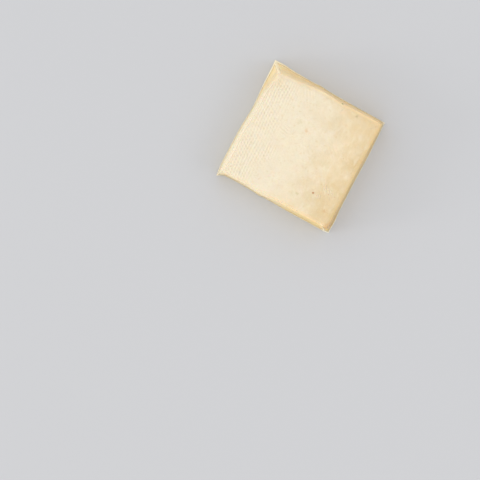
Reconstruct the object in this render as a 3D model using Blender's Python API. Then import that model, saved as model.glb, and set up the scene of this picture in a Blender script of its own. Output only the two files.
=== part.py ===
"""A square block of feta in clear shrunk wrap, lying flat. Metres, +Z up.

Seen from above, left and right run along X, near and far along Y. The wrap hugs the
cheese: its face is ribbed on the left, its sides splay out to a thin trimmed rim at the
table, and at each corner it is pinched into a small ear, joined to the face by a ridge.
"""
import math

import bmesh
import bpy
from mathutils import Vector, noise

MM = 0.001

HEIGHT = 16.5 * MM           # table to the crown of the face

# The four corners of the rim at the table, without their ears.
RIM_CORNERS = {
    "near_left": Vector((-33.2, -33.8)) * MM,
    "near_right": Vector((35.65, -34.5)) * MM,
    "far_left": Vector((-34.0, 33.85)) * MM,
    "far_right": Vector((33.9, 32.7)) * MM,
}
# The four corners of the face on top, before the wrap tucks one of them in.
FACE_CORNERS = {
    "near_left": Vector((-31.1, -32.4)) * MM,
    "near_right": Vector((33.4, -32.35)) * MM,
    "far_left": Vector((-31.2, 30.7)) * MM,
    "far_right": Vector((32.8, 30.9)) * MM,
}
# How far each ear sticks out past its rim corner, how far along the sides its root runs, and
# the power that its pull dies out with: the lower, the blunter the ear.
EARS = {
    "near_left": (Vector((0.85, -2.0)) * MM, 5.5 * MM, 1.5),
    "near_right": (Vector((0.15, 0.7)) * MM, 2.4 * MM, 2.0),
    "far_left": (Vector((-0.35, 0.4)) * MM, 9.0 * MM, 2.0),
    "far_right": (Vector((0.1, 0.1)) * MM, 3.0 * MM, 2.0),
}
# The wrap bridges the far left corner, so the face is tucked in there, over a long run.
FACE_TUCKS = {
    "far_left": (Vector((2.4, -2.3)) * MM, 30.0 * MM, 2.0),
}
# Each side runs from one corner to another; its dents are (place 0 to 1, depth, half width 0 to 1),
# with a depth below zero where the side swells out.
SIDES = {
    "near": ("near_left", "near_right", Vector((0.0, -1.0))),
    "right": ("near_right", "far_right", Vector((1.0, 0.0))),
    "far": ("far_left", "far_right", Vector((0.0, 1.0))),
    "left": ("near_left", "far_left", Vector((-1.0, 0.0))),
}
RIM_DENTS = {
    "near": ((0.19, 0.30 * MM, 0.10), (0.375, -0.25 * MM, 0.035), (0.66, -0.20 * MM, 0.12)),
    "right": ((0.70, -0.35 * MM, 0.20), (0.11, -0.42 * MM, 0.06)),
    "far": ((0.08, -0.50 * MM, 0.06), (0.42, -0.38 * MM, 0.04), (0.66, 0.15 * MM, 0.15)),
    "left": ((0.60, 0.75 * MM, 0.14), (0.33, -0.10 * MM, 0.15)),
}
FACE_DENTS = {
    "near": ((0.38, -0.75 * MM, 0.11),),
    "right": ((0.30, -0.15 * MM, 0.20),),
    "far": ((0.20, 0.60 * MM, 0.09), (0.44, -0.45 * MM, 0.10), (0.62, 0.45 * MM, 0.07)),
    "left": ((0.38, -0.50 * MM, 0.09), (0.60, 0.30 * MM, 0.09), (0.78, -0.35 * MM, 0.07)),
}
CORNER_CALM = 0.04           # share of a side, at each end, where its dents die out

# The side wall from the face to the table: (share of the way out to the rim, height).
WALL_RINGS = (
    (0.14, 14.9 * MM),
    (0.25, 12.9 * MM),
    (0.42, 9.3 * MM),
    (0.58, 5.6 * MM),
    (0.74, 2.6 * MM),
    (0.88, 1.2 * MM),
    (1.00, 0.85 * MM),
    (1.00, 0.30 * MM),
    (0.96, 0.0),
)

# The face: a soft crown that falls off at its edges and a little more towards the right.
FACE_SPAN = 64.0 * MM        # width of the face, for spacing its columns and rows
EDGE_DROP = 0.80 * MM        # the face's edge lies this much below the crown
EDGE_SOFTNESS = 1.4 * MM     # and the fall happens over about this width
RIGHT_FALL = 0.5 * MM        # the right edge is this much lower than the left
SWELL = 0.22 * MM            # slow unevenness of the face
SWELL_LENGTH = 15.0 * MM

# Ribs pressed into the face by the wrap, side by side from the left edge.
RIB_PITCH = 1.53 * MM
RIB_RELIEF = 0.16 * MM       # crest to trough
RIB_START = 1.8 * MM         # first rib, from the left edge of the face
RIB_END = 24.5 * MM          # the ribs have faded out here
RIB_FADE = 9.0 * MM          # length over which they fade
PLAIN_STEP = 3.3 * MM        # spacing of columns without ribs
ROW_STEP = 3.9 * MM          # spacing of rows
EDGE_STEP = 1.0 * MM         # width of the outermost column and row

CREAM = (0.896, 0.783, 0.591, 1.0)
CREAM_ROUGHNESS = 0.42
SMOOTH_UP_TO = math.radians(50.0)


def clear_scene():
    for old in list(bpy.data.objects):
        bpy.data.objects.remove(old, do_unlink=True)


def smooth_step(value):
    value = min(max(value, 0.0), 1.0)
    return value * value * (3.0 - 2.0 * value)


def spaced(start, end, step):
    """Even places from start up to, but not reaching, end, about a step apart."""
    count = max(1, round((end - start) / step))
    return [start + (end - start) * i / count for i in range(count)]


def face_columns():
    """Places across the face, 0 to 1: half a rib pitch apart where it is ribbed."""
    places = [0.0, EDGE_STEP]
    places += spaced(RIB_START, RIB_END, RIB_PITCH / 2.0)
    places += spaced(RIB_END, FACE_SPAN - EDGE_STEP, PLAIN_STEP)
    places += [FACE_SPAN - EDGE_STEP, FACE_SPAN]
    return [place / FACE_SPAN for place in places]


def face_rows():
    places = [0.0]
    places += spaced(EDGE_STEP, FACE_SPAN - EDGE_STEP, ROW_STEP)
    places += [FACE_SPAN - EDGE_STEP, FACE_SPAN]
    return [place / FACE_SPAN for place in places]


def dent_depth(dents, t):
    calm = smooth_step(min(t, 1.0 - t) / CORNER_CALM)
    depth = sum(deep * math.exp(-(((t - place) / width) ** 2)) for place, deep, width in dents)
    return calm * depth


def side_point(side, t, corners, dents, pulls):
    """Point at share t of one side, with its dents and the pull of what is at its two ends."""
    first, last, outward = SIDES[side]
    length = (corners[last] - corners[first]).length
    point = corners[first].lerp(corners[last], t) - outward * dent_depth(dents[side], t)
    for corner, away in ((first, t * length), (last, (1.0 - t) * length)):
        if corner in pulls:
            vector, reach, power = pulls[corner]
            point = point + vector * max(0.0, 1.0 - away / reach) ** power
    return point


def face_edge(side, t):
    return side_point(side, t, FACE_CORNERS, FACE_DENTS, FACE_TUCKS)


def rim_edge(side, t):
    return side_point(side, t, RIM_CORNERS, RIM_DENTS, EARS)


def side_of(u, v):
    """Side of the unit square that a border place lies on, and its share along that side."""
    if v <= 0.0:
        return "near", u
    if v >= 1.0:
        return "far", u
    if u >= 1.0:
        return "right", v
    return "left", v


def wall_point(u, v, share_out, height):
    side, t = side_of(u, v)
    place = face_edge(side, t).lerp(rim_edge(side, t), share_out)
    return Vector((place.x, place.y, height))


def face_plan(u, v):
    """Place on the face that its four edges give: a blend of near and far, left and right."""
    across = face_edge("near", u).lerp(face_edge("far", u), v)
    along = face_edge("left", v).lerp(face_edge("right", v), u)
    near = face_edge("near", 0.0).lerp(face_edge("near", 1.0), u)
    far = face_edge("far", 0.0).lerp(face_edge("far", 1.0), u)
    return across + along - near.lerp(far, v)


def rib_height(column, u, v):
    """Crest on every other column of the ribbed part, trough between."""
    reach = (RIB_END - u * FACE_SPAN) / RIB_FADE
    start = (u * FACE_SPAN - EDGE_STEP) / RIB_PITCH
    ends = min(v, 1.0 - v) * FACE_SPAN / (2.0 * EDGE_STEP)
    fade = smooth_step(reach) * smooth_step(start) * smooth_step(ends)
    return 0.5 * RIB_RELIEF * fade * (1.0 if column % 2 else -1.0)


def face_point(column, u, v):
    place = face_plan(u, v)
    from_edge = min(u, 1.0 - u, v, 1.0 - v) * FACE_SPAN
    height = HEIGHT - EDGE_DROP * math.exp(-((from_edge / EDGE_SOFTNESS) ** 2))
    height -= RIGHT_FALL * smooth_step(u)
    swell = noise.noise(Vector((place.x, place.y, 0.0)) / SWELL_LENGTH)
    height += SWELL * min(0.0, swell - 0.2)
    height += rib_height(column, u, v)
    return Vector((place.x, place.y, height))


def cream_wrap():
    material = bpy.data.materials.new("cream_wrap")
    material.use_nodes = True
    surface = material.node_tree.nodes["Principled BSDF"]
    surface.inputs["Base Color"].default_value = CREAM
    surface.inputs["Roughness"].default_value = CREAM_ROUGHNESS
    surface.inputs["Metallic"].default_value = 0.0
    return material


def lay_face(bm, across, along):
    """The face as a grid, whose points also carry their place in the unit square."""
    columns = face_columns()
    rows = face_rows()
    bmesh.ops.create_grid(bm, x_segments=len(columns) - 1, y_segments=len(rows) - 1, size=0.5)
    for vert in bm.verts:
        column = round((vert.co.x + 0.5) * (len(columns) - 1))
        row = round((vert.co.y + 0.5) * (len(rows) - 1))
        vert[across] = columns[column]
        vert[along] = rows[row]
        vert.co = face_point(column, columns[column], rows[row])


def drop_wall(bm, across, along):
    """The sides: the face's border, extruded ring by ring down to the table."""
    border = [edge for edge in bm.edges if edge.is_boundary]
    for share_out, height in WALL_RINGS:
        ring = bmesh.ops.extrude_edge_only(bm, edges=border)["geom"]
        for vert in ring:
            if isinstance(vert, bmesh.types.BMVert):
                vert.co = wall_point(vert[across], vert[along], share_out, height)
        border = [edge for edge in ring if isinstance(edge, bmesh.types.BMEdge) and edge.is_boundary]
    return border


def centre_on_table(bm):
    """Puts the middle of the block's own box over the origin."""
    xs = [vert.co.x for vert in bm.verts]
    ys = [vert.co.y for vert in bm.verts]
    middle = Vector(((min(xs) + max(xs)) / 2.0, (min(ys) + max(ys)) / 2.0, 0.0))
    bmesh.ops.translate(bm, vec=-middle, verts=bm.verts)


def feta_block(collection):
    bm = bmesh.new()
    across = bm.verts.layers.float.new("across")
    along = bm.verts.layers.float.new("along")
    lay_face(bm, across, along)
    foot = drop_wall(bm, across, along)
    base = bmesh.ops.holes_fill(bm, edges=foot, sides=0)["faces"]
    bmesh.ops.triangulate(bm, faces=base, ngon_method="BEAUTY")
    bmesh.ops.recalc_face_normals(bm, faces=bm.faces)
    centre_on_table(bm)
    mesh = bpy.data.meshes.new("feta_block")
    bm.to_mesh(mesh)
    bm.free()
    mesh.shade_smooth()
    mesh.set_sharp_from_angle(angle=SMOOTH_UP_TO)
    mesh.materials.append(cream_wrap())
    block = bpy.data.objects.new("feta_block", mesh)
    collection.objects.link(block)


def main():
    clear_scene()
    parts = bpy.data.collections.new("feta_block")
    bpy.context.scene.collection.children.link(parts)
    feta_block(parts)


main()
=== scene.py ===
import functools
import math
import random

import bmesh
import bpy
from mathutils import Matrix, Vector, noise


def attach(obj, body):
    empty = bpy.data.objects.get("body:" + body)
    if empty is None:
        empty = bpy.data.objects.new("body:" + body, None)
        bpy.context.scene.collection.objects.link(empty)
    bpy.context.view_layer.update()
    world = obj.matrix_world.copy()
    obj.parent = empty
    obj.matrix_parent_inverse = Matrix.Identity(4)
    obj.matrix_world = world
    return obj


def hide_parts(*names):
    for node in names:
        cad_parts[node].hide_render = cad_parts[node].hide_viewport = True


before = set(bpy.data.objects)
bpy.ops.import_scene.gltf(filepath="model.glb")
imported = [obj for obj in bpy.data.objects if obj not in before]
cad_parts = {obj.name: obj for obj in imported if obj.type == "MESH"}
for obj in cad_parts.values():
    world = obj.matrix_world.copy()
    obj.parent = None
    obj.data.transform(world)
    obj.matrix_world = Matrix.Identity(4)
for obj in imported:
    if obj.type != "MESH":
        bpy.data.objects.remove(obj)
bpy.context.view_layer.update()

mm = 0.001


# the wrapped block seen from above: left and right along x, near and far along y, in millimetres
pack = {
    "height": 16.5,
    "rimCorners": {
        "nearLeft": (-33.2, -33.8), "nearRight": (35.65, -34.5),
        "farLeft": (-34.0, 33.85), "farRight": (33.9, 32.7),
    },
    "faceCorners": {
        "nearLeft": (-31.1, -32.4), "nearRight": (33.4, -32.35),
        "farLeft": (-31.2, 30.7), "farRight": (32.8, 30.9),
    },
    # how far each ear sticks out of its rim corner, how long its root is, the power it dies out with
    "ears": {
        "nearLeft": ((0.85, -2.0), 5.5, 1.5), "nearRight": ((0.15, 0.7), 2.4, 2.0),
        "farLeft": ((-0.35, 0.4), 9.0, 2.0), "farRight": ((0.1, 0.1), 3.0, 2.0),
    },
    "faceTucks": {"farLeft": ((2.4, -2.3), 30.0, 2.0)},
    # dents of a side: place 0 to 1, depth, half width 0 to 1; below zero it swells out
    "rimDents": {
        "near": ((0.19, 0.3, 0.1), (0.375, -0.25, 0.035), (0.66, -0.2, 0.12)),
        "right": ((0.7, -0.35, 0.2), (0.11, -0.42, 0.06)),
        "far": ((0.08, -0.5, 0.06), (0.42, -0.38, 0.04), (0.66, 0.15, 0.15)),
        "left": ((0.6, 0.75, 0.14), (0.33, -0.1, 0.15)),
    },
    "faceDents": {
        "near": ((0.38, -0.75, 0.11),),
        "right": ((0.3, -0.15, 0.2),),
        "far": ((0.2, 0.6, 0.09), (0.44, -0.45, 0.1), (0.62, 0.45, 0.07)),
        "left": ((0.38, -0.5, 0.09), (0.6, 0.3, 0.09), (0.78, -0.35, 0.07)),
    },
    "cornerCalm": 0.04,  # share of a side, at its ends, where its dents die out
    "span": 64.0,  # width of the face
    "edgeDrop": 0.8,  # the face's edge lies this much below the crown
    "edgeSoftness": 1.4,
    "rightFall": 0.5,  # the right edge is this much lower than the left
    "swell": 0.22,  # slow unevenness of the face
    "swellLength": 15.0,
    "swellFrom": 0.2,  # the face sinks where the noise is below this
}

sides = {
    "near": ("nearLeft", "nearRight", Vector((0.0, -1.0))),
    "right": ("nearRight", "farRight", Vector((1.0, 0.0))),
    "far": ("farLeft", "farRight", Vector((0.0, 1.0))),
    "left": ("nearLeft", "farLeft", Vector((-1.0, 0.0))),
}


def smoothStep(value):
    value = min(max(value, 0.0), 1.0)
    return value * value * (3.0 - 2.0 * value)


def bell(value, width):
    return math.exp(-((value / width) ** 2))


def noiseAt(x, y, z, length=1.0):
    # where only x and y are places, z picks one of many patterns
    return noise.noise(Vector((x, y, z)) / length)


def sidePoint(side, t, corners, dents, pulls):
    first, last, outward = sides[side]
    start, end = Vector(corners[first]), Vector(corners[last])
    length = (end - start).length
    calm = smoothStep(min(t, 1.0 - t) / pack["cornerCalm"])
    depth = calm * sum(deep * bell(t - place, width) for place, deep, width in dents[side])
    point = start.lerp(end, t) - outward * depth
    for corner, away in ((first, t * length), (last, (1.0 - t) * length)):
        if corner in pulls:
            vector, reach, power = pulls[corner]
            point = point + Vector(vector) * max(0.0, 1.0 - away / reach) ** power
    return point


@functools.lru_cache(maxsize=None)
def faceEdge(side, t):
    return sidePoint(side, t, pack["faceCorners"], pack["faceDents"], pack["faceTucks"])


@functools.lru_cache(maxsize=None)
def rimEdge(side, t):
    return sidePoint(side, t, pack["rimCorners"], pack["rimDents"], pack["ears"])


def middleOfRims():
    places = [rimEdge(side, i / 400.0) for side in sides for i in range(401)]
    xs, ys = [place.x for place in places], [place.y for place in places]
    return Vector(((min(xs) + max(xs)) / 2.0, (min(ys) + max(ys)) / 2.0, 0.0))


# the middle of the solid's box, in the outline's own millimetres
packMiddle = middleOfRims()


def facePlan(u, v):
    # blend of the four edges of the face
    across = faceEdge("near", u).lerp(faceEdge("far", u), v)
    along = faceEdge("left", v).lerp(faceEdge("right", v), u)
    near = faceEdge("near", 0.0).lerp(faceEdge("near", 1.0), u)
    far = faceEdge("far", 0.0).lerp(faceEdge("far", 1.0), u)
    return across + along - near.lerp(far, v)


def placeOnFace(x, y):
    # the u and v whose place on the face is x, y: a few steps are enough on so even a face
    u, v = 0.5, 0.5
    for step in range(8):
        miss = Vector((x, y)) - facePlan(u, v)
        u += miss.x / pack["span"]
        v += miss.y / pack["span"]
    return u, v


def sideOf(u, v):
    if v <= 0.0:
        return "near", u
    if v >= 1.0:
        return "far", u
    if u >= 1.0:
        return "right", v
    return "left", v


def inPlaces(edgeStep, middleStep, fineWidth, ribbedTo=0.0, ribStep=0.0):
    # places across the span, 0 to 1: closer together at both ends and where there are ribs
    places = [0.0]
    while places[-1] < pack["span"]:
        here = places[-1]
        fromEnd = min(here, pack["span"] - here)
        step = min(middleStep, ribStep) if here < ribbedTo else middleStep
        if fromEnd < fineWidth:
            step = min(step, edgeStep + (middleStep - edgeStep) * fromEnd / fineWidth)
        places.append(here + step)
    stretch = pack["span"] / places[-1]
    return [place * stretch / pack["span"] for place in places]


# a lattice pressed into the wrap: ribs along y, crossed by weaker slanted ones
ribs = {
    # pitch, direction in degrees, share of the relief, how uneven that share is
    "waves": ((1.52, 3.0, 1.0, 0.7), (1.62, 60.0, 0.62, 1.5)),
    "relief": 0.16,  # crest to trough
    "unevenLength": 5.0,
    "fullAt": 1.35,  # sum of the waves that gives the full relief
    "most": 1.1,  # and the most that is let through
    "end": 21.0,  # the band at the left reaches this far from the left edge
    "fade": 13.0,  # and fades out over this width
    "startWidth": 1.5,  # it fades in over this width
    "startAfter": 0.8,  # from this many such widths off the left edge
    "calmWidth": 2.5,  # the lattice dies out over this width at the face's edges
    "worn": (0.85, 0.45),  # strength of the band, and how far that varies
    "wornLength": 9.0,
    "wander": 0.45,  # how far a rib drifts sideways
    "wanderLength": 8.0,
    # faint patches away from the band: x, y, half width, share of the relief, pitch, direction
    "patches": (
        (-13.5, -11.0, 4.5, 0.6, 1.52, 3.0), (-17.0, 19.0, 4.0, 0.3, 1.52, 3.0),
        (-11.6, 2.8, 2.6, 0.75, 1.5, 80.0), (16.5, 6.0, 4.5, 0.4, 1.75, 45.0),
        (22.0, -13.5, 3.8, 0.5, 1.9, 40.0), (-8.0, 24.0, 5.0, 0.3, 1.6, 30.0),
        (-14.5, -15.0, 4.0, 0.4, 1.6, 60.0), (2.0, -2.0, 6.0, 0.18, 1.9, 40.0),
        (11.0, -20.0, 5.0, 0.2, 1.8, 20.0), (-10.0, 27.3, 3.2, 0.6, 1.5, 35.0),
    ),
    "patchReach": 2.5,  # a patch is left out beyond this many half widths
}


def ribShare(u, v, place):
    fadeOut = (ribs["end"] - u * pack["span"]) / ribs["fade"]
    fadeIn = u * pack["span"] / ribs["startWidth"] - ribs["startAfter"]
    ends = min(v, 1.0 - v) * pack["span"] / ribs["calmWidth"]
    usual, change = ribs["worn"]
    worn = usual + change * noiseAt(place.x, place.y, 7.0, ribs["wornLength"])
    return smoothStep(fadeOut) * smoothStep(fadeIn) * worn * smoothStep(ends)


def wave(place, pitch, turn):
    drift = ribs["wander"] * noiseAt(place.x, place.y, 3.0, ribs["wanderLength"])
    turn = math.radians(turn)
    along = place.x * math.cos(turn) + place.y * math.sin(turn) + drift
    return math.cos(2.0 * math.pi * along / pitch)


def lattice(u, v, place):
    # the pressed pattern, between about -1 in the troughs and 1 where two crests cross
    total = 0.0
    for pitch, turn, share, uneven in ribs["waves"]:
        worn = 1.0 + uneven * noiseAt(place.x, place.y, turn, ribs["unevenLength"])
        total += share * max(worn, 0.0) * wave(place, pitch, turn)
    total *= ribShare(u, v, place) / ribs["fullAt"]
    calm = smoothStep(min(u, 1.0 - u, v, 1.0 - v) * pack["span"] / ribs["calmWidth"])
    for x, y, wide, share, pitch, turn in ribs["patches"]:
        away = math.hypot(place.x - x, place.y - y)
        if away < ribs["patchReach"] * wide:
            total += share * calm * bell(away, wide) * wave(place, pitch, turn)
    return min(max(total, -ribs["most"]), ribs["most"])


def ribHeight(u, v, place):
    return 0.5 * ribs["relief"] * lattice(u, v, place)


def faceHeight(u, v, place):
    fromEdge = min(u, 1.0 - u, v, 1.0 - v) * pack["span"]
    height = pack["height"] - pack["edgeDrop"] * bell(fromEdge, pack["edgeSoftness"])
    height -= pack["rightFall"] * smoothStep(u)
    swell = noiseAt(place.x, place.y, 0.0, pack["swellLength"])
    return height + pack["swell"] * min(0.0, swell - pack["swellFrom"])


# the side wall of the wrap
wall = {
    # from the face to the table: share of the way out to the rim, height
    "table": (
        (0.0, 15.7), (0.14, 14.9), (0.25, 12.9), (0.42, 9.3),
        (0.58, 5.6), (0.74, 2.6), (0.88, 1.0), (1.0, 0.62),
    ),
    "steps": 36,
    # folds in the wrap: side, corner, distance from it, height, half length, half height, depth, slope
    "folds": (
        ("far", "farLeft", 7.0, 12.4, 8.0, 1.1, 0.18, 0.04),
        ("far", "farLeft", 9.0, 8.8, 8.0, 1.2, -0.22, -0.04),
        ("far", "farLeft", 6.0, 5.2, 7.0, 1.1, 0.3, 0.0),
        ("far", "farLeft", 15.0, 3.0, 6.0, 1.2, -0.2, 0.0),
        ("left", "farLeft", 6.0, 12.0, 6.0, 1.2, -0.14, 0.1),
        ("left", "farLeft", 8.0, 8.0, 7.0, 1.2, 0.18, 0.08),
        ("left", "nearLeft", 5.0, 10.0, 5.0, 1.0, 0.3, -0.12),
        ("left", "nearLeft", 4.0, 5.5, 4.0, 1.0, -0.28, -0.08),
        ("near", "nearLeft", 4.5, 11.5, 4.0, 1.0, 0.32, -0.12),
        ("near", "nearLeft", 4.0, 7.0, 4.5, 1.1, -0.32, -0.1),
        ("near", "nearRight", 5.0, 12.0, 5.0, 1.0, -0.28, 0.12),
        ("near", "nearRight", 5.0, 7.5, 6.0, 1.2, 0.32, 0.08),
        ("right", "nearRight", 2.3, 8.5, 1.2, 4.2, -0.8, 0.0),
        ("right", "nearRight", 6.0, 10.5, 5.0, 1.0, 0.26, 0.1),
        ("right", "farRight", 4.0, 11.5, 4.0, 1.0, 0.26, -0.1),
        ("right", "farRight", 4.5, 6.5, 4.5, 1.1, -0.26, 0.0),
        ("far", "farRight", 4.5, 10.0, 4.5, 1.0, 0.28, 0.1),
        ("far", "farRight", 4.0, 5.5, 4.0, 1.0, -0.24, 0.0),
    ),
    "foldCalm": 0.02,  # share of a side, at its ends, where its folds die out
    "foldRate": 1.12,  # they are deepest halfway down, and gone at the rim or just above
    "crinkle": 0.16,  # fine unevenness of the wall
    "crinkleMidway": 0.35,  # and how much of it is left midway along a side
    "crinkleCorner": 0.16,  # share of a side over which it falls to that
    "slowCrinkle": (9.0, 6.0),  # number along a side, height in millimetres
    "quickCrinkle": (34.0, 2.2, 0.45),  # the same, with its share
    "crinklePattern": {"near": 11.0, "right": 23.0, "far": 37.0, "left": 53.0},
    # the pinched ridges down the corners: how far they stand out, length of their root, how milky, which
    # paints the bright line of their highlight
    "ridges": {
        "nearLeft": (0.4, 1.0, 0.85), "nearRight": (0.05, 0.6, 0.0),
        "farLeft": (0.5, 1.4, 0.85), "farRight": (0.35, 0.8, 0.35),
    },
    # one more pinch beside the near right corner: side, corner, distance from the corner at the face
    # and at the rim, depth, width, how milky, which paints its pale highlight
    "pinch": ("near", "nearRight", 3.3, 0.7, 0.35, 0.75, 0.85),
    # how milky the rim is along each side, and at each corner with how far that reaches along x and y:
    # milky folded film, made milkier to paint light onto rims and ears that lie in shade
    "rimMilkAndPaintedLight": {"near": 0.85, "right": 0.85, "far": 0.8, "left": 0.9},
    "earMilkAndPaintedLight": {
        "nearLeft": (1.0, 1.6, 3.2), "nearRight": (0.95, 2.6, 7.5),
        "farLeft": (0.9, 2.6, 2.6), "farRight": (0.5, 2.0, 2.0),
    },
    # where down the side the rim starts to turn milky, and over how much of it
    "rimFrom": {"near": (0.76, 0.12), "right": (0.82, 0.1), "far": (0.76, 0.13), "left": (0.76, 0.1)},
    "looseMilk": 0.25,  # folded film turns this milky
    "looseFull": 0.4,  # where it stands off this far
}


def throughPoints(points, k):
    # smooth curve through a short list of points, k from 0 to 1
    place = k * (len(points) - 1)
    i = min(int(place), len(points) - 2)
    t = place - i
    around = (points[min(max(j, 0), len(points) - 1)] for j in (i - 1, i, i + 1, i + 2))
    blend = []
    for a, b, c, d in zip(*around):
        square = (2 * a - 5 * b + 4 * c - d) * t * t
        cube = (3 * b - a - 3 * c + d) * t ** 3
        blend.append(0.5 * (2 * b + (c - a) * t + square + cube))
    return blend


def onWall(side, t, k, drop, table):
    # a place down a side before its folds, and its height: k is 0 at the face, 1 at the rim,
    # and drop is the height of the face's border there
    share, height = throughPoints(table, k)
    height *= 1.0 + (drop / table[0][1] - 1.0) * (1.0 - k)
    return faceEdge(side, t).lerp(rimEdge(side, t), share), height


def foldShape(t, k, rate):
    # the folds' strength down the side, and how calm they are by the corners
    return math.sin(math.pi * min(k * rate, 1.0)), smoothStep(min(t, 1.0 - t) / wall["foldCalm"])


def foldDepth(side, t, height):
    first, last, outward = sides[side]
    length = (Vector(pack["rimCorners"][last]) - Vector(pack["rimCorners"][first])).length
    depth = 0.0
    for foldSide, corner, away, level, halfLong, halfHigh, deep, slope in wall["folds"]:
        if foldSide != side:
            continue
        here = t * length if corner == first else (1.0 - t) * length
        lift = height - level - slope * (here - away)
        depth += deep * bell(here - away, halfLong) * bell(lift, halfHigh)
    return depth


def crinkleDepth(side, t, height):
    # stronger near the corners, calmer midway along a side
    pattern = wall["crinklePattern"][side]
    midway = wall["crinkleMidway"]
    strength = midway + (1.0 - midway) * bell(min(t, 1.0 - t), wall["crinkleCorner"])
    slowCount, slowHigh = wall["slowCrinkle"]
    quickCount, quickHigh, quickShare = wall["quickCrinkle"]
    slow = noiseAt(t * slowCount, height / slowHigh, pattern)
    quick = noiseAt(t * quickCount, height / quickHigh, pattern + 5.0)
    return wall["crinkle"] * strength * (slow + quickShare * quick)


def wallPoint(u, v, k, drop):
    # a place on the wrap's side and how milky it is there, milk that partly paints light and highlights
    side, t = sideOf(u, v)
    first, last, outward = sides[side]
    place, height = onWall(side, t, k, drop, wall["table"])
    body, calm = foldShape(t, k, wall["foldRate"])
    loose = foldDepth(side, t, height) + crinkleDepth(side, t, height)
    place = place + outward * calm * body * loose
    length = (rimEdge(side, 1.0) - rimEdge(side, 0.0)).length
    # milky film on the rims and ears, partly painted light where they lie in shade
    rimMilkAndPaintedLight = wall["rimMilkAndPaintedLight"][side]
    for corner, away in ((first, t * length), (last, (1.0 - t) * length)):
        white, *reach = wall["earMilkAndPaintedLight"][corner]
        rimMilkAndPaintedLight += (white - rimMilkAndPaintedLight) * bell(away, reach[side in ("left", "right")])
    rimStart, rimRun = wall["rimFrom"][side]
    milk = rimMilkAndPaintedLight * smoothStep((k - rimStart) / rimRun)
    milk += wall["looseMilk"] * smoothStep(abs(loose) / wall["looseFull"]) * calm * body
    pinchSide, pinchCorner, pinchTop, pinchFoot, deep, wide, pinchMilkAndHighlight = wall["pinch"]
    # the milk of the corner ridges and the pinch paints their highlights
    for corner, end, away in ((first, 0.0, t * length), (last, 1.0, (1.0 - t) * length)):
        high, root, white = wall["ridges"][corner]
        near = bell(away, root)
        diagonal = (rimEdge(side, end) - faceEdge(side, end)).normalized()
        place = place + diagonal * high * near * body
        milk = max(milk, white * near)
        if side == pinchSide and corner == pinchCorner:
            pinched = bell(away - pinchTop - (pinchFoot - pinchTop) * k, wide)
            place = place + outward * deep * pinched * body
            milk = max(milk, pinchMilkAndHighlight * pinched)
    return Vector((place.x, place.y, height)), milk


def finishPiece(bm, name, material):
    # the piece's mesh from millimetres to metres, in the box of the solid that it stands for
    bmesh.ops.recalc_face_normals(bm, faces=bm.faces)
    bmesh.ops.translate(bm, vec=-packMiddle, verts=bm.verts)
    bmesh.ops.scale(bm, vec=Vector((mm, mm, mm)), verts=bm.verts)
    mesh = bpy.data.meshes.new(name)
    bm.to_mesh(mesh)
    bm.free()
    mesh.shade_smooth()
    mesh.materials.append(material)
    piece = bpy.data.objects.new(name, mesh)
    bpy.context.scene.collection.objects.link(piece)
    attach(piece, "root")
    return piece


def layGrid(bm, columns, rows, facePoint):
    # the face: a grid of the given places; each point keeps its u and v for the side walls,
    # and in milk how milky the film is, partly painted highlight, or on the cheese how high the lattice
    # stands
    across = bm.verts.layers.float.new("across")
    along = bm.verts.layers.float.new("along")
    milk = bm.verts.layers.float.new("milk")
    bmesh.ops.create_grid(bm, x_segments=len(columns) - 1, y_segments=len(rows) - 1, size=0.5)
    for vert in bm.verts:
        u = columns[round((vert.co.x + 0.5) * (len(columns) - 1))]
        v = rows[round((vert.co.y + 0.5) * (len(rows) - 1))]
        vert[across], vert[along] = u, v
        vert.co, vert[milk] = facePoint(u, v)
    return across, along, milk


def layFace(bm, piece, facePoint):
    # the face of one piece, its border, and the height of the border at each u and v
    ribbed = (ribs["end"], piece["ribStep"])
    columns = inPlaces(piece["edgeStep"], piece["middleStep"], piece["fineWidth"], *ribbed)
    rows = inPlaces(piece["edgeStep"], piece["rowStep"], piece["fineWidth"])
    across, along, milk = layGrid(bm, columns, rows, facePoint)
    border = [edge for edge in bm.edges if edge.is_boundary]
    drops = {(vert[across], vert[along]): vert.co.z for vert in bm.verts if vert.is_boundary}
    return across, along, milk, border, drops


def dropRing(bm, border, place):
    # one more ring of the side, extruded from the ring above it
    ring = bmesh.ops.extrude_edge_only(bm, edges=border)["geom"]
    for part in ring:
        if isinstance(part, bmesh.types.BMVert):
            place(part)
    return [part for part in ring if isinstance(part, bmesh.types.BMEdge) and part.is_boundary]


def closeBase(bm, border):
    base = bmesh.ops.holes_fill(bm, edges=border, sides=0)["faces"]
    bmesh.ops.triangulate(bm, faces=base, ngon_method="BEAUTY")


def addNode(tree, kind, **values):
    # a shader node with its settings and its unlinked inputs, by name
    node = tree.nodes.new("ShaderNode" + kind)
    for name, value in values.items():
        if hasattr(node, name):
            setattr(node, name, value)
        else:
            node.inputs[name.replace("_", " ")].default_value = value
    return node


def newMaterial(name, roughness):
    material = bpy.data.materials.new(name)
    material.use_nodes = True
    tree = material.node_tree
    surface = tree.nodes["Principled BSDF"]
    surface.inputs["Roughness"].default_value = roughness
    return material, tree, surface


def objectPlace(tree):
    # the place in the piece's own axes, whole and as its x, y and z
    place = addNode(tree, "TexCoord").outputs["Object"]
    axes = addNode(tree, "SeparateXYZ")
    tree.links.new(place, axes.inputs[0])
    return place, axes.outputs


def noiseOn(tree, place, scale, detail=3.0, roughness=0.55, stretch=(1.0, 1.0, 1.0), turn=0.0):
    mapping = addNode(tree, "Mapping", Scale=stretch, Rotation=(0.0, 0.0, math.radians(turn)))
    tree.links.new(place, mapping.inputs["Vector"])
    speckle = addNode(tree, "TexNoise", Scale=scale, Detail=detail, Roughness=roughness)
    tree.links.new(mapping.outputs["Vector"], speckle.inputs["Vector"])
    return speckle.outputs["Fac"]


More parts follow.
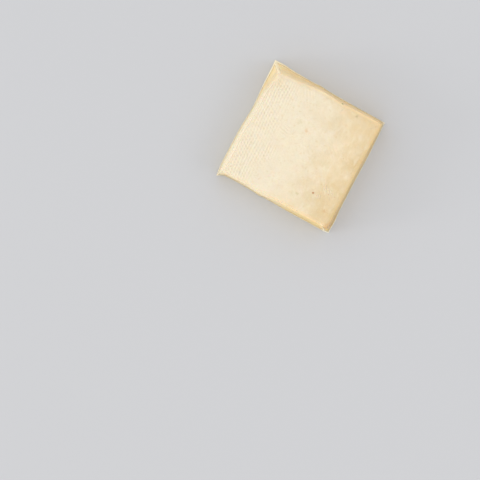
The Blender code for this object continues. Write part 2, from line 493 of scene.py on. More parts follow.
def ranged(tree, value, low, high, toLow, toHigh, smooth=False):
    node = addNode(tree, "MapRange", From_Min=low, From_Max=high, To_Min=toLow, To_Max=toHigh)
    node.interpolation_type = "SMOOTHSTEP" if smooth else "LINEAR"
    tree.links.new(value, node.inputs["Value"])
    return node.outputs["Result"]


def zoned(tree, axes, zone):
    # a share that changes along one axis: axis, from and to in millimetres, share before and after
    axis, start, end, before, after = zone
    return ranged(tree, axes[axis], start * mm, end * mm, before, after, True)


def patchy(tree, place, scale, low, high, detail=3.0):
    # a value that wanders between low and high: a noise is mostly between 0.3 and 0.7
    return ranged(tree, noiseOn(tree, place, scale, detail), 0.3, 0.7, low, high)


def reckoned(tree, operation, first, second):
    node = addNode(tree, "Math", operation=operation)
    for socket, value in zip(node.inputs, (first, second)):
        tree.links.new(value, socket)
    return node.outputs[0]


def distanceFrom(tree, place, centre):
    # distance from a point of the outline, in metres
    away = addNode(tree, "VectorMath", operation="DISTANCE")
    tree.links.new(place, away.inputs[0])
    away.inputs[1].default_value = (Vector(centre) - packMiddle) * mm
    return away.outputs["Value"]


def mixed(tree, share, first, second):
    # a colour mix; a share or a colour may be a socket or a fixed value
    node = addNode(tree, "Mix", data_type="RGBA")
    for socket, value in ((node.inputs[0], share), (node.inputs[6], first), (node.inputs[7], second)):
        if isinstance(value, bpy.types.NodeSocket):
            tree.links.new(value, socket)
        else:
            socket.default_value = (*value, 1.0) if isinstance(value, tuple) else value
    return node.outputs[2]


def bumped(tree, surface, place, layers):
    # stacked bumps: scale, detail, roughness and stretch of the noise, strength, depth in millimetres
    before = None
    for scale, detail, roughness, stretch, strength, depth in layers:
        bump = addNode(tree, "Bump", Strength=strength, Distance=depth * mm)
        tree.links.new(noiseOn(tree, place, scale, detail, roughness, stretch), bump.inputs["Height"])
        if before:
            tree.links.new(before, bump.inputs["Normal"])
        before = bump.outputs["Normal"]
    tree.links.new(before, surface.inputs["Normal"])


print("stage: the cheese")

cheese = {
    "edgeStep": 0.28, "middleStep": 0.38, "fineWidth": 3.0, "ribStep": 0.26, "rowStep": 0.3,
    "gap": 0.13,  # the face lies this far under the wrap's nominal face
    "wallGap": 0.22,
    "ribShare": 0.8,  # share of the wrap's ribs and folds that shows in the cheese
    "foldShare": 0.85,
    "foldRate": 1.1,
    "grain": 0.025,  # half the depth of the curd's fine unevenness
    "grains": ((2.3, 0.6), (0.8, 0.4)),  # its lengths, and the share of each
    "wallGrain": 1.4,  # on the sides it is this much deeper
    "pits": 46, "pitSizes": (0.35, 1.1), "pitDepths": (0.05, 0.16), "pitSeed": 8,
    "pitsAcross": (-30.0, 31.0), "pitsAlong": (-30.0, 30.0),
    "pitReach": 2.5,  # a pit is left out beyond this many half widths
    "wall": (
        (0.0, 15.6), (0.12, 14.8), (0.23, 12.8), (0.39, 9.3),
        (0.54, 5.6), (0.69, 2.7), (0.83, 1.3), (0.93, 0.6),
    ),
    "wallSteps": 22,
    # how far the corners are rounded off, at the face and more below it, and how soon
    "cornerTop": 0.2, "cornerRound": 1.0, "cornerRate": 4.0, "cornerReach": 2.4,
    "foot": 0.42,  # height of its underside
    "footShrink": 0.985,
    "plain": 0.5,  # stands for no lattice, between trough and crest
    "palePart": (0.835, 0.748, 0.584),
    "goldenPart": (0.645, 0.477, 0.209),
    "milkyPart": (0.875, 0.8, 0.655),
    # darker and more golden towards +x, with a soft uneven border: partly painted shade away from the lit
    # left side, partly the curd's own deeper tone where the film wets it
    "shadedGoldFrom": -6.0, "shadedGoldTo": 44.0, "shadedGoldDrift": 9.0, "shadedGoldScale": 70.0,
    # milky clouds, slanted streaks and small curd marks: colour, scale, detail, roughness, stretch
    # and turn of the noise, where it starts and is full, strength
    "patterns": (
        ("milkyPart", 210.0, 4.0, 0.6, (1.0, 1.0, 1.0), 0.0, 0.42, 0.72, 0.42),
        ("milkyPart", 520.0, 3.0, 0.6, (1.0, 0.38, 1.0), -32.0, 0.48, 0.74, 0.55),
        ("goldenPart", 620.0, 4.0, 0.65, (1.0, 1.0, 1.0), 0.0, 0.5, 0.76, 0.46),
    ),
    # the sides: gold at the top and lower down; darker to the right and amber low on the right wall towards
    # its near end, which is painted shade on the walls away from the key lamp; paler at the left and the
    # near left, which is painted light on the walls that face it
    "sideTop": (0.95, 0.76, 0.465),
    "sideTopLeft": (0.835, 0.675, 0.405),
    "sideTopRight": (0.93, 0.705, 0.395),
    "sideGold": (0.95, 0.735, 0.38),
    "sideNear": (0.93, 0.71, 0.27),
    # painted shade: the darker right wall, and amber low towards its near end
    "sideShadedDeep": (0.68, 0.475, 0.185),
    "sideShadedAmber": (0.56, 0.32, 0.085),
    # painted light: the paler left wall and the near wall's left part
    "sideLitPale": (0.985, 0.862, 0.605),
    "sideLitPaleTop": (0.895, 0.785, 0.555),
    # where these colours lie: axis, from and to in millimetres from the middle, share before and after
    "zones": {
        "side": ("Z", 14.6, 16.3, 0.95, 0.0),
        "upper": ("Z", 5.0, 14.0, 0.0, 1.0),
        "lower": ("Z", 8.0, 13.0, 1.0, 0.0),
        "left": ("X", -31.0, -29.0, 1.0, 0.0),
        # painted light on the left wall, which faces the key lamp
        "leftLitPale": ("Y", 7.0, 22.0, 1.0, 0.1),
        # painted shade on the right wall, away from the key lamp, amber low towards its near end
        "right": ("X", 29.0, 32.5, 0.0, 1.0),
        "rightNearShade": ("Y", -30.0, -14.0, 0.8, 0.0),
        "topRight": ("X", -6.0, 16.0, 0.0, 1.0),
        "near": ("Y", -32.0, -30.5, 0.85, 0.0),
        "nearGold": ("X", -10.0, 16.0, 0.12, 0.85),
        # painted light on the near wall's left part, which faces the key lamp
        "nearLitPale": ("X", 2.0, 20.0, 1.0, 0.12),
        "earPocket": ("X", -31.0, -25.0, 0.0, 1.0),
    },
    "streakScale": 260.0, "streakStretch": (1.0, 1.0, 5.0), "streakShare": 0.2,
    # painted shading of the lattice's relief: lighter crests, darker troughs
    "crest": (1.13, 1.135, 1.15), "trough": (0.87, 0.865, 0.84),
    "roughness": 0.5, "roughnessRange": (0.4, 0.62), "roughnessScale": 500.0,
    "coat": 0.25, "coatLeft": 0.12, "coatRoughness": 0.35,
    "glow": 0.25, "glowColours": (1.0, 0.55, 0.25), "glowReach": 1.5,
    # scale, detail, roughness and stretch of the noise, strength, depth
    "bumps": (
        (850.0, 4.0, 0.55, (1.0, 1.0, 1.0), 0.5, 0.1),
        (3200.0, 2.0, 0.55, (1.0, 1.0, 1.0), 0.4, 0.03),
    ),
    # the hollow in the side at the near right corner, painted amber shade
    "hollow": (34.3, -31.9, 12.3), "hollowCore": 1.8, "hollowReach": 5.0, "hollowShadeShare": 0.95,
    "hollowShadeTint": (0.62, 0.33, 0.1),
    # soft stains in the curd, with painted shade and a painted highlight among them: x, y, radius, colour,
    # strength; the first ones are wide wet patches
    "stainsShadeAndHighlight": (
        # wet patch and painted shade at the far right corner, away from the lit side
        (29.4, 29.5, 17.0, (0.69, 0.51, 0.245), 0.64),
        (10.4, 33.5, 11.0, (0.74, 0.58, 0.325), 0.5),
        (-11.6, 35.5, 12.0, (0.76, 0.6, 0.34), 0.4),
        (-28.6, 24.5, 9.0, (0.76, 0.6, 0.34), 0.4),
        # wet patch and painted shade at the near right corner
        (33.4, -31.5, 16.0, (0.69, 0.51, 0.25), 0.54),
        (0.4, -34.5, 9.0, (0.78, 0.65, 0.42), 0.3),
        (16.0, 31.0, 7.0, (0.7, 0.525, 0.25), 0.8),
        (24.0, 31.5, 6.0, (0.7, 0.52, 0.25), 0.6),
        (1.5, 31.4, 5.0, (0.735, 0.575, 0.325), 0.6),
        (2.0, 19.0, 11.0, (0.76, 0.64, 0.42), 0.22),
        (30.0, 33.0, 6.0, (0.69, 0.505, 0.24), 0.5),
        (33.5, 2.0, 7.0, (0.7, 0.53, 0.27), 0.15),
        (-6.4, 10.8, 2.4, (0.64, 0.55, 0.28), 0.36),
        (-1.1, 8.5, 1.8, (0.74, 0.52, 0.29), 0.8),
        (1.1, 8.0, 0.9, (0.86, 0.62, 0.34), 0.5),
        (10.4, -23.4, 1.4, (0.54, 0.45, 0.18), 0.7),
        (27.6, -24.8, 1.6, (0.56, 0.29, 0.09), 1.0),
        (16.2, -30.4, 1.1, (0.5, 0.5, 0.36), 0.5),
        (-21.9, -28.1, 1.0, (0.5, 0.39, 0.38), 0.55),
        (18.9, 28.3, 1.5, (0.45, 0.34, 0.14), 0.95),
        (23.2, 4.8, 0.9, (0.7, 0.4, 0.22), 0.45),
        (10.9, 27.0, 2.6, (0.84, 0.57, 0.35), 0.32),
        (19.4, -12.9, 1.0, (0.6, 0.38, 0.18), 0.5),
        (30.1, 27.9, 0.9, (0.68, 0.34, 0.2), 0.5),
        (22.9, -26.8, 0.8, (0.6, 0.52, 0.24), 0.4),
        (26.8, -30.1, 0.9, (0.56, 0.48, 0.2), 0.45),
        (10.7, -4.6, 2.0, (0.66, 0.57, 0.3), 0.24),
        (21.5, -5.2, 1.6, (0.66, 0.57, 0.28), 0.26),
        (24.7, -4.9, 0.7, (0.76, 0.46, 0.3), 0.4),
        # painted shade beside the hollow in the near right corner
        (33.5, -31.9, 3.0, (0.66, 0.35, 0.1), 0.85),
        # and a painted highlight, the pale spot at the far left corner of the face
        (-28.8, 26.2, 1.9, (0.9, 0.8, 0.69), 0.6),
    ),
    # share of its radius where a stain is full and by which its border is ragged, and the grain of
    # that, which is coarser on wide stains
    "stainCore": 0.1, "stainRagged": 0.35, "stainScale": 900.0, "stainCoarser": 0.4,
}

pitDraw = random.Random(cheese["pitSeed"])
pitPlaces = [
    (pitDraw.uniform(*cheese["pitsAcross"]), pitDraw.uniform(*cheese["pitsAlong"]),
     pitDraw.uniform(*cheese["pitSizes"]), pitDraw.uniform(*cheese["pitDepths"]))
    for i in range(cheese["pits"])
]


def curdDepth(x, y, z):
    return cheese["grain"] * (1.0 + sum(share * noiseAt(x, y, z, long) for long, share in cheese["grains"]))


def cheeseHeight(u, v):
    place = facePlan(u, v)
    height = faceHeight(u, v, place) + cheese["ribShare"] * ribHeight(u, v, place) - cheese["gap"]
    height -= curdDepth(place.x, place.y, 0.0)
    for x, y, wide, deep in pitPlaces:
        reach = cheese["pitReach"] * wide
        if abs(place.x - x) < reach and abs(place.y - y) < reach:
            height -= deep * bell(math.hypot(place.x - x, place.y - y), wide)
    return height


def cheesePoint(u, v):
    place = facePlan(u, v)
    inward = Vector((0.5 - u, 0.5 - v)) * 2.0 * cheese["wallGap"]
    crest = cheese["plain"] * (1.0 + lattice(u, v, place))
    return Vector((place.x + inward.x, place.y + inward.y, cheeseHeight(u, v))), crest


def cheeseWallPoint(u, v, k, drop):
    side, t = sideOf(u, v)
    place, height = onWall(side, t, k, drop, cheese["wall"])
    body, calm = foldShape(t, k, cheese["foldRate"])
    loose = cheese["foldShare"] * (foldDepth(side, t, height) + crinkleDepth(side, t, height))
    inset = cheese["wallGap"] + cheese["wallGrain"] * curdDepth(place.x, place.y, height)
    place = place + sides[side][2] * (calm * body * loose - inset * calm)
    length = (rimEdge(side, 1.0) - rimEdge(side, 0.0)).length
    rounded = cheese["cornerTop"] + cheese["cornerRound"] * min(k * cheese["cornerRate"], 1.0)
    for corner, away in ((0.0, t * length), (1.0, (1.0 - t) * length)):
        near = max(0.0, 1.0 - away / cheese["cornerReach"]) ** 2
        diagonal = (rimEdge(side, corner) - faceEdge(side, corner)).normalized()
        place = place - diagonal * near * rounded
    return Vector((place.x, place.y, height))


def sideColour(tree, place, zones):
    nearGold = reckoned(tree, "MULTIPLY", zones["near"], zones["nearGold"])
    # painted light: masks of the paler near and left walls, which face the key lamp
    nearLitPale = reckoned(tree, "MULTIPLY", zones["nearLitPale"], zones["earPocket"])
    nearLitPale = reckoned(tree, "MULTIPLY", zones["near"], nearLitPale)
    leftLitPale = reckoned(tree, "MULTIPLY", zones["left"], zones["leftLitPale"])
    # painted shade: amber low on the right wall towards its near end
    amber = reckoned(tree, "MULTIPLY", zones["right"], zones["rightNearShade"])
    amber = reckoned(tree, "MULTIPLY", amber, zones["lower"])
    top = mixed(tree, zones["left"], cheese["sideTop"], cheese["sideTopLeft"])
    top = mixed(tree, zones["topRight"], top, cheese["sideTopRight"])
    colour = mixed(tree, zones["upper"], cheese["sideGold"], top)
    # painted shade: the right wall darker
    colour = mixed(tree, zones["right"], colour, cheese["sideShadedDeep"])
    colour = mixed(tree, amber, colour, cheese["sideShadedAmber"])
    streaks = noiseOn(tree, place, cheese["streakScale"], 3.0, 0.6, cheese["streakStretch"])
    streaks = ranged(tree, streaks, 0.35, 0.75, 0.0, cheese["streakShare"])
    colour = mixed(tree, streaks, colour, cheese["goldenPart"])
    # painted light: the left wall and the near wall's left part paler
    pale = mixed(tree, zones["upper"], cheese["sideLitPale"], cheese["sideLitPaleTop"])
    colour = mixed(tree, reckoned(tree, "MAXIMUM", leftLitPale, nearLitPale), colour, pale)
    return mixed(tree, nearGold, colour, cheese["sideNear"])


def cheeseMaterial():
    material, tree, surface = newMaterial("feta curd under film", cheese["roughness"])
    place, axes = objectPlace(tree)
    zones = {name: zoned(tree, axes, zone) for name, zone in cheese["zones"].items()}
    # partly painted shade: the face turns darker and more golden towards +x, away from the lit left side
    most = cheese["shadedGoldDrift"] * mm
    drift = patchy(tree, place, cheese["shadedGoldScale"], -most, most, 2.0)
    drifted = reckoned(tree, "ADD", axes["X"], drift)
    golden = ranged(tree, drifted, cheese["shadedGoldFrom"] * mm, cheese["shadedGoldTo"] * mm, 0.0, 1.0, True)
    colour = mixed(tree, golden, cheese["palePart"], cheese["goldenPart"])
    for tint, scale, detail, roughness, stretch, turn, start, full, strength in cheese["patterns"]:
        pattern = noiseOn(tree, place, scale, detail, roughness, stretch, turn)
        share = ranged(tree, pattern, start, full, 0.0, strength, True)
        colour = mixed(tree, share, colour, cheese[tint])
    # stains in the curd, with painted shade and a painted highlight among them
    for x, y, wide, tint, strength in cheese["stainsShadeAndHighlight"]:
        scale = cheese["stainScale"] / max(1.0, cheese["stainCoarser"] * wide)
        ragged = cheese["stainRagged"] * wide * mm
        away = distanceFrom(tree, place, (x, y, pack["height"]))
        spread = reckoned(tree, "ADD", away, patchy(tree, place, scale, -ragged, ragged))
        share = ranged(tree, spread, cheese["stainCore"] * wide * mm, wide * mm, strength, 0.0, True)
        colour = mixed(tree, share, colour, tint)
    colour = mixed(tree, zones["side"], colour, sideColour(tree, place, zones))
    # painted shade in the hollow at the near right corner
    away = distanceFrom(tree, place, cheese["hollow"])
    core, reach = cheese["hollowCore"] * mm, cheese["hollowReach"] * mm
    share = ranged(tree, away, core, reach, cheese["hollowShadeShare"], 0.0, True)
    colour = mixed(tree, share, colour, cheese["hollowShadeTint"])
    # the lattice: crests painted lighter and troughs darker, painted shading of the ribs' relief, partly
    # brine wetting the troughs
    crest = addNode(tree, "Attribute", attribute_name="milk").outputs["Fac"]
    colour = mixed(tree, 1.0, colour, mixed(tree, crest, cheese["trough"], cheese["crest"]))
    colour.node.blend_type = "MULTIPLY"
    tree.links.new(colour, surface.inputs["Base Color"])
    roughness = patchy(tree, place, cheese["roughnessScale"], *cheese["roughnessRange"])
    tree.links.new(roughness, surface.inputs["Roughness"])
    coat = ranged(tree, zones["left"], 0.0, 1.0, cheese["coat"], cheese["coatLeft"])
    tree.links.new(coat, surface.inputs["Coat Weight"])
    surface.inputs["Coat Roughness"].default_value = cheese["coatRoughness"]
    surface.inputs["Subsurface Weight"].default_value = cheese["glow"]
    surface.inputs["Subsurface Radius"].default_value = cheese["glowColours"]
    surface.inputs["Subsurface Scale"].default_value = cheese["glowReach"] * mm
    bumped(tree, surface, place, cheese["bumps"])
    return material


def buildCheese():
    bm = bmesh.new()
    across, along, milk, border, drops = layFace(bm, cheese, cheesePoint)
    for step in range(1, cheese["wallSteps"] + 1):
        k = step / cheese["wallSteps"]

        def place(vert):
            u, v = vert[across], vert[along]
            vert.co = cheeseWallPoint(u, v, k, drops[(u, v)])
            vert[milk] = cheese["plain"]

        border = dropRing(bm, border, place)

    def tuckUnder(vert):
        shrink = cheese["footShrink"]
        vert.co = Vector((vert.co.x * shrink, vert.co.y * shrink, cheese["foot"]))
        vert[milk] = cheese["plain"]

    closeBase(bm, dropRing(bm, border, tuckUnder))
    finishPiece(bm, "cheeseBlock", cheeseMaterial())


buildCheese()


print("stage: the film")

film = {
    "edgeStep": 0.14, "middleStep": 0.38, "fineWidth": 4.0, "ribStep": 0.24, "rowStep": 0.34,
    "under": 0.06,  # the film's face lies this much below the solid's
    # raised folds of film along the near and left edges of the face
    "bead": 0.26, "beadIn": 0.9, "nearBeadWidth": 0.55, "leftBeadWidth": 0.74,
    "nearBeadShare": 0.64,  # the near one is this much lower
    "nearBeadFall": 0.45,  # and falls by this share on its way to the right
    # how quickly they fade: at the near left corner, at the near right one and at the far left one
    "beadStart": 30.0, "nearBeadEnd": 16.0, "leftBeadEnd": 5.5,
    "beadWave": (0.75, 0.5, 9.0),  # their strength, how far it varies, number of waves
    # the beads' milk paints their bright highlight, along with milky folded film
    "beadMilkAndHighlight": 0.6,
    # painted highlight on the lattice's crests, along with milky film
    "crestMilkAndHighlight": 0.12,
    # faint creases on the face: from x, y to x, y, height, half width, how milky
    "creases": (
        (-9.6, 7.0, -4.2, 2.7, 0.05, 0.35, 0.1),
        (-2.2, 9.3, 2.8, 6.1, 0.05, 0.3, 0.1),
        (2.4, 3.9, 5.6, 0.5, 0.05, 0.3, 0.1),
        (10.9, 29.5, 9.6, 24.7, 0.05, 0.35, 0.15),
        (20.6, -17.9, 21.7, -20.8, 0.09, 0.32, 0.5),
        (21.7, -17.7, 22.7, -20.4, 0.09, 0.28, 0.45),
        (19.9, -18.4, 20.8, -21.0, 0.04, 0.26, 0.22),
        (20.8, -11.8, 22.6, -15.3, 0.08, 0.36, 0.44),
        (22.0, -11.4, 23.5, -14.5, 0.08, 0.32, 0.38),
        (23.7, -13.2, 28.6, -14.9, 0.06, 0.5, 0.34),
        (25.6, -16.8, 28.2, -18.6, 0.04, 0.34, 0.22),
        (18.0, -20.6, 22.2, -24.2, 0.05, 0.45, 0.1),
        (-28.6, 26.5, -24.1, 21.5, 0.07, 0.45, 0.2),
        (-29.6, -30.0, -25.6, -25.0, 0.06, 0.4, 0.15),
        # this crease's milk paints the pale highlight of the pinch at the near right corner
        (28.8, -31.6, 31.6, -32.4, 0.07, 0.55, 0.5),
        (30.8, 28.0, 26.9, 24.5, 0.05, 0.4, 0.12),
    ),
    "creaseReach": 3.0,  # a crease is left out beyond this many half widths
    "creaseEnd": 0.06,  # share of its length, at each end, that stays level
    # the trimmed rim: its edge, then under it to the table: height, share of the way out
    "rimRings": ((0.22, 1.0), (0.0, 0.97), (0.0, 0.9)),
    # milky film on the trimmed rim, partly painted light
    "rimMilkAndPaintedLight": 0.8,
    "panel": 0.34,  # height of the film's underside, inside the rim
    "panelIn": 1.6, "halfWide": 34.0,
    "panelMilk": 0.35,
    "tint": (0.88, 0.8, 0.62),
    "sideTint": (0.94, 0.78, 0.48),
    "milkTint": (0.96, 0.9, 0.78),
    "sideMilkTint": (0.97, 0.82, 0.51),
    # painted light: paler film down the left side, which faces the key lamp
    "leftPaintedLightTint": (0.98, 0.87, 0.62),
    # painted light: paler milky film along the right rim, which lies in shade
    "rightPaintedLightTint": (0.99, 0.94, 0.74),
    # axis, from and to in millimetres from the middle, share before and after
    "zones": {
        "side": ("Z", 14.6, 16.3, 1.0, 0.0),
        "left": ("X", -31.0, -28.0, 1.0, 0.0),
        "right": ("X", 29.5, 32.5, 0.0, 1.0),
    },
    "clearAlpha": 0.14, "milkAlpha": 0.9,
    "clearTo": 0.3,  # down the left side, film less milky than this is clearer still
    "haze": 0.1, "hazeScale": 260.0,
    "roughness": 0.34, "roughnessRange": (0.26, 0.46), "roughnessScale": 340.0,
    "shine": 0.5, "shineLeft": 0.12,
    # scale, detail, roughness and stretch of the noise, strength, depth
    "bumps": (
        (420.0, 3.0, 0.5, (1.0, 0.45, 1.6), 0.35, 0.1),
        (2400.0, 2.0, 0.55, (1.0, 1.0, 1.0), 0.25, 0.02),
    ),
}


def creasesAt(place):
    # how high the creases stand here, and how milky they are
    height, milk = 0.0, 0.0
    for x0, y0, x1, y1, high, wide, white in film["creases"]:
        start, end = Vector((x0, y0)), Vector((x1, y1))
        run = end - start
        t = min(max((place - start).dot(run) / run.length_squared, 0.0), 1.0)
        away = (place - start - run * t).length
        if away < film["creaseReach"] * wide:
            t = min(max(t, film["creaseEnd"]), 1.0 - film["creaseEnd"])
            share = bell(away, wide) * math.sin(math.pi * t)
            height += high * share
            milk += white * share
    return height, milk


def beadShare(u, v):
    # the folded bead along the near and the left edge
    nearBead = bell(v * pack["span"] - film["beadIn"], film["nearBeadWidth"])
    nearBead *= smoothStep(u * film["beadStart"]) * (1.0 - film["nearBeadFall"] * u)
    nearBead *= smoothStep((1.0 - u) * film["nearBeadEnd"])
    leftBead = bell(u * pack["span"] - film["beadIn"], film["leftBeadWidth"])
    leftBead *= smoothStep(v * film["beadStart"]) * smoothStep((1.0 - v) * film["leftBeadEnd"])
    usual, change, waves = film["beadWave"]
    wavy = usual + change * noiseAt(u * waves, v * waves, 2.0)
    return max(film["nearBeadShare"] * nearBead, leftBead) * wavy


def filmPoint(u, v):
    place = facePlan(u, v)
    bead = beadShare(u, v)
    crease, creaseMilk = creasesAt(place)
    height = faceHeight(u, v, place) - film["under"] + ribHeight(u, v, place)
    height += film["bead"] * bead + crease
    # the milk of the beads and crests partly paints their highlights
    milk = film["beadMilkAndHighlight"] * bead + film["crestMilkAndHighlight"] * max(lattice(u, v, place), 0.0) + creaseMilk
    return Vector((place.x, place.y, height)), min(milk, 1.0)


def filmMaterial():
    material, tree, surface = newMaterial("clear satin film", film["roughness"])
    place, axes = objectPlace(tree)
    zones = {name: zoned(tree, axes, zone) for name, zone in film["zones"].items()}
    milk = addNode(tree, "Attribute", attribute_name="milk").outputs["Fac"]
    haze = ranged(tree, noiseOn(tree, place, film["hazeScale"]), 0.35, 0.75, 0.0, film["haze"])
    cloudy = reckoned(tree, "ADD", milk, haze)
    # painted light: paler film down the left side
    sideClear = mixed(tree, zones["left"], film["sideTint"], film["leftPaintedLightTint"])
    clear = mixed(tree, zones["side"], film["tint"], sideClear)
    sideMilky = mixed(tree, zones["left"], film["sideMilkTint"], film["leftPaintedLightTint"])
    # painted light: paler milky film on the shaded right rim
    sideMilky = mixed(tree, zones["right"], sideMilky, film["rightPaintedLightTint"])
    milky = mixed(tree, zones["side"], film["milkTint"], sideMilky)
    tree.links.new(mixed(tree, cloudy, clear, milky), surface.inputs["Base Color"])
    alpha = ranged(tree, cloudy, 0.0, 1.0, film["clearAlpha"], film["milkAlpha"])
    thinner = ranged(tree, milk, 0.0, film["clearTo"], film["clearAlpha"], 0.0)
    leftSide = reckoned(tree, "MULTIPLY", zones["left"], zones["side"])
    thinner = reckoned(tree, "MULTIPLY", thinner, leftSide)
    tree.links.new(reckoned(tree, "SUBTRACT", alpha, thinner), surface.inputs["Alpha"])
    shine = ranged(tree, zones["left"], 0.0, 1.0, film["shine"], film["shineLeft"])
    tree.links.new(shine, surface.inputs["Specular IOR Level"])
    roughness = patchy(tree, place, film["roughnessScale"], *film["roughnessRange"])
    tree.links.new(roughness, surface.inputs["Roughness"])
    bumped(tree, surface, place, film["bumps"])
    return material


def buildFilm():
    bm = bmesh.new()
    across, along, milk, border, drops = layFace(bm, film, filmPoint)
    for step in range(1, wall["steps"] + 1):
        k = step / wall["steps"]

        def place(vert):
            u, v = vert[across], vert[along]
            vert.co, vert[milk] = wallPoint(u, v, k, drops[(u, v)])

        border = dropRing(bm, border, place)

    for height, share in film["rimRings"]:

        def place(vert):
            side, t = sideOf(vert[across], vert[along])
            spot = faceEdge(side, t).lerp(rimEdge(side, t), share)
            vert.co = Vector((spot.x, spot.y, height))
            # milky film, partly painted light on the rim
            vert[milk] = film["rimMilkAndPaintedLight"]

        border = dropRing(bm, border, place)

    def tuckUnder(vert):
        shrink = 1.0 - film["panelIn"] / film["halfWide"]
        vert.co = Vector((vert.co.x * shrink, vert.co.y * shrink, film["panel"]))
        vert[milk] = film["panelMilk"]

    closeBase(bm, dropRing(bm, border, tuckUnder))
    piece = finishPiece(bm, "vacuumFilm", filmMaterial())
    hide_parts("feta_block")


buildFilm()


print("stage: the folded flaps beneath")

flaps = {
    "long": 56.0, "deep": 19.0, "slant": 9.0, "columns": 112, "rows": 40,
    "low": 0.14, "thick": 0.09, "wave": 0.03,
    "out": 31.2,  # the fold line's distance from the middle
    # the crimped seal, in shares of the depth: from, to, and how quickly it starts and ends
    "sealFrom": 0.62, "sealTo": 0.97, "sealStart": 20.0, "sealEnd": 30.0,
    "sealRibs": 9, "sealRelief": 0.03,
    "ragged": 0.25, "raggedCount": 14.0,  # unevenness of the edges
    "milk": 0.25, "sealMilk": 0.45,
}


def buildFlaps():
    bm = bmesh.new()
    milk = bm.verts.layers.float.new("milk")
    ribRate = 2.0 * math.pi * flaps["sealRibs"] / (1.0 - flaps["sealFrom"])
    for turn in (-1.0, 1.0):
        columns, rows = flaps["columns"], flaps["rows"]
        made = bmesh.ops.create_grid(bm, x_segments=columns, y_segments=rows, size=0.5)["verts"]
        for vert in made:
            across, inward = vert.co.x, vert.co.y + 0.5
            halfLong = flaps["long"] / 2.0 - flaps["slant"] * inward
            wavy = flaps["wave"] * (1.0 + noiseAt(across * 5.0, inward * 2.0, turn * 4.0))
            seal = smoothStep((inward - flaps["sealFrom"]) * flaps["sealStart"])
            seal *= smoothStep((flaps["sealTo"] - inward) * flaps["sealEnd"])
            crimp = flaps["sealRelief"] * seal * math.cos(ribRate * inward)
            ragged = flaps["ragged"] * noiseAt(across * flaps["raggedCount"], turn, 3.0)
            x = across * 2.0 * halfLong * turn
            y = turn * (flaps["out"] - flaps["deep"] * inward + ragged)
            vert.co = Vector((x, y, flaps["low"] + wavy + crimp))
            vert[milk] = flaps["milk"] + flaps["sealMilk"] * seal
    bmesh.ops.recalc_face_normals(bm, faces=bm.faces)
    bmesh.ops.solidify(bm, geom=bm.faces, thickness=flaps["thick"])
    bmesh.ops.translate(bm, vec=packMiddle, verts=bm.verts)
    finishPiece(bm, "foldedFlaps", filmMaterial())


buildFlaps()


print("stage: the flecks")

flecks = {
    # the ones that stand out: x, y, radius, how round, turn in degrees, how far it leans outward
    "brown": (
        (17.8, -18.9, 0.74, 0.82, 35.0, 0.0), (25.5, -15.8, 0.28, 0.8, 10.0, 0.0),
        (29.0, -15.5, 0.24, 0.7, 50.0, 0.0), (23.2, 4.8, 0.24, 0.7, 120.0, 0.0),
        (30.1, 27.9, 0.2, 0.8, 0.0, 0.0), (19.4, -12.9, 0.22, 0.6, 70.0, 0.0),
    ),
    "olive": ((8.95, 30.33, 0.58, 1.0, 5.0, 60.0), (18.9, 28.3, 0.16, 0.8, 60.0, 0.0)),
    # fine ones of each colour, drawn anywhere on the face
    "fine": 6, "fineSizes": (0.06, 0.12), "fineRound": (0.5, 0.9), "seed": 21,
    "fineAcross": (-27.0, 30.0), "fineAlong": (-28.0, 28.0),
    "thick": 0.07, "sunk": 0.025,
    "leanDrop": 0.43,  # a leaning one lies this far down the side
    "uneven": 0.35, "unevenRate": 1.3,
    "brownTint": (0.44, 0.13, 0.015), "brownEdge": (0.6, 0.26, 0.05),
    "oliveTint": (0.2, 0.185, 0.04), "oliveEdge": (0.38, 0.35, 0.1),
    "blotchScale": 2600.0, "roughness": 0.6,
    # scale, detail, roughness and stretch of the noise, strength, depth
    "bumps": ((5200.0, 2.0, 0.55, (1.0, 1.0, 1.0), 0.4, 0.03),),
}


def fleckMaterial(name, tint, edge):
    material, tree, surface = newMaterial(name, flecks["roughness"])
    place, axes = objectPlace(tree)
    blotch = ranged(tree, noiseOn(tree, place, flecks["blotchScale"], 2.0), 0.35, 0.65, 0.0, 1.0)
    tree.links.new(mixed(tree, blotch, tint, edge), surface.inputs["Base Color"])
    bumped(tree, surface, place, flecks["bumps"])
    return material


def addFleck(bm, x, y, radius, roundness, turn, lean, draw):
    u, v = placeOnFace(x, y)
    made = bmesh.ops.create_icosphere(bm, subdivisions=2, radius=1.0)["verts"]
    number = draw.uniform(0.0, 90.0)
    for vert in made:
        spot = vert.co * flecks["unevenRate"] + Vector((number, 0.0, 0.0))
        vert.co *= 1.0 + flecks["uneven"] * noise.noise(spot)
    sunk = flecks["sunk"] + flecks["leanDrop"] * math.sin(math.radians(lean))
    centre = Vector((x, y, cheeseHeight(u, v) - sunk))
    size = Matrix.Diagonal((radius, radius * roundness, flecks["thick"], 1.0))
    turned = Matrix.Rotation(math.radians(-lean), 4, "X") @ Matrix.Rotation(math.radians(turn), 4, "Z")
    bmesh.ops.transform(bm, matrix=Matrix.Translation(centre) @ turned @ size, verts=made)


def buildFlecks(name, colour, seed):
    bm = bmesh.new()
    draw = random.Random(seed)
    for x, y, radius, roundness, turn, lean in flecks[colour]:
        addFleck(bm, x, y, radius, roundness, turn, lean, draw)
    for i in range(flecks["fine"]):
        x, y = draw.uniform(*flecks["fineAcross"]), draw.uniform(*flecks["fineAlong"])
        radius, roundness = draw.uniform(*flecks["fineSizes"]), draw.uniform(*flecks["fineRound"])
        addFleck(bm, x, y, radius, roundness, draw.uniform(0.0, 180.0), 0.0, draw)
    material = fleckMaterial(name, flecks[colour + "Tint"], flecks[colour + "Edge"])
    finishPiece(bm, name, material)


buildFlecks("brownSkinFlecks", "brown", flecks["seed"])
buildFlecks("oliveFlecks", "olive", flecks["seed"] + 1)


print("stage: floor, light and camera")

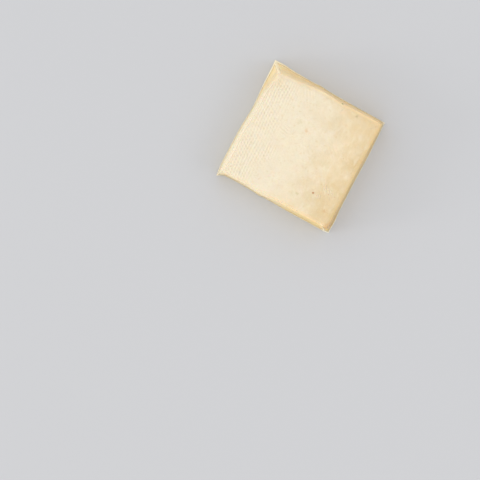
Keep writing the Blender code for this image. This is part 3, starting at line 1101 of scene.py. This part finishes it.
studio = {
    "floorSize": 6.0, "floorDrop": 0.2, "floorTint": (0.562, 0.566, 0.582, 1.0),
    "floorRoughness": 0.9, "floorShine": 0.1,
    "worldTint": (1.0, 1.0, 1.0, 1.0), "worldStrength": 1.03,
    # lamps: name, place in metres, size, watts
    "lamps": (
        ("key", (-1.22, -0.92, 0.32), 0.5, 5.8),
        ("fill", (1.2, 0.3, 1.0), 0.8, 2.4),
    ),
    "turn": 28.6,  # the block lies turned this much in the picture
    "away": 1.3,  # height of the camera over the table
    "foot": (-1.75, -11.6),  # the point under the camera, in the outline's millimetres
    "aim": (-4.45, -60.4),  # the point on the table in the middle of the picture
    "pictureWide": 260.0,  # width of table in the picture, in millimetres
    "sensor": 36.0,
    "clip": (0.05, 20.0),
}


def makeFloor():
    bm = bmesh.new()
    bmesh.ops.create_grid(bm, x_segments=2, y_segments=2, size=studio["floorSize"] / 2.0)
    bmesh.ops.translate(bm, vec=(0.0, 0.0, -studio["floorDrop"] * mm), verts=bm.verts)
    mesh = bpy.data.meshes.new("floor")
    bm.to_mesh(mesh)
    bm.free()
    material, tree, surface = newMaterial("pale floor", studio["floorRoughness"])
    surface.inputs["Base Color"].default_value = studio["floorTint"]
    surface.inputs["Specular IOR Level"].default_value = studio["floorShine"]
    mesh.materials.append(material)
    floor = bpy.data.objects.new("floor", mesh)
    bpy.context.scene.collection.objects.link(floor)


def makeLight():
    world = bpy.data.worlds.new("soft room")
    world.use_nodes = True
    background = world.node_tree.nodes["Background"]
    background.inputs["Color"].default_value = studio["worldTint"]
    background.inputs["Strength"].default_value = studio["worldStrength"]
    bpy.context.scene.world = world
    for name, place, size, watts in studio["lamps"]:
        lamp = bpy.data.lights.new(name, "AREA")
        lamp.shape = "DISK"
        lamp.size = size
        lamp.energy = watts
        holder = bpy.data.objects.new(name, lamp)
        holder.location = place
        holder.rotation_euler = (-Vector(place)).to_track_quat("-Z", "Y").to_euler()
        bpy.context.scene.collection.objects.link(holder)


def makeCamera():
    lens = bpy.data.cameras.new("camera")
    lens.sensor_width = studio["sensor"]
    lens.lens = studio["sensor"] * studio["away"] / (studio["pictureWide"] * mm)
    lens.clip_start, lens.clip_end = studio["clip"]
    camera = bpy.data.objects.new("camera", lens)
    foot = Vector((*studio["foot"], 0.0)) - packMiddle
    stand = foot * mm + Vector((0.0, 0.0, studio["away"]))
    target = (Vector((*studio["aim"], 0.0)) - packMiddle) * mm
    turn = math.radians(studio["turn"])
    backward = (stand - target).normalized()
    up = Vector((-math.sin(turn), math.cos(turn), 0.0))
    right = up.cross(backward).normalized()
    up = backward.cross(right)
    camera.matrix_world = Matrix.Translation(stand) @ Matrix((right, up, backward)).transposed().to_4x4()
    bpy.context.scene.collection.objects.link(camera)
    bpy.context.scene.camera = camera


makeFloor()
makeLight()
makeCamera()
bpy.context.scene.view_settings.view_transform = "Standard"

print("stage: done")
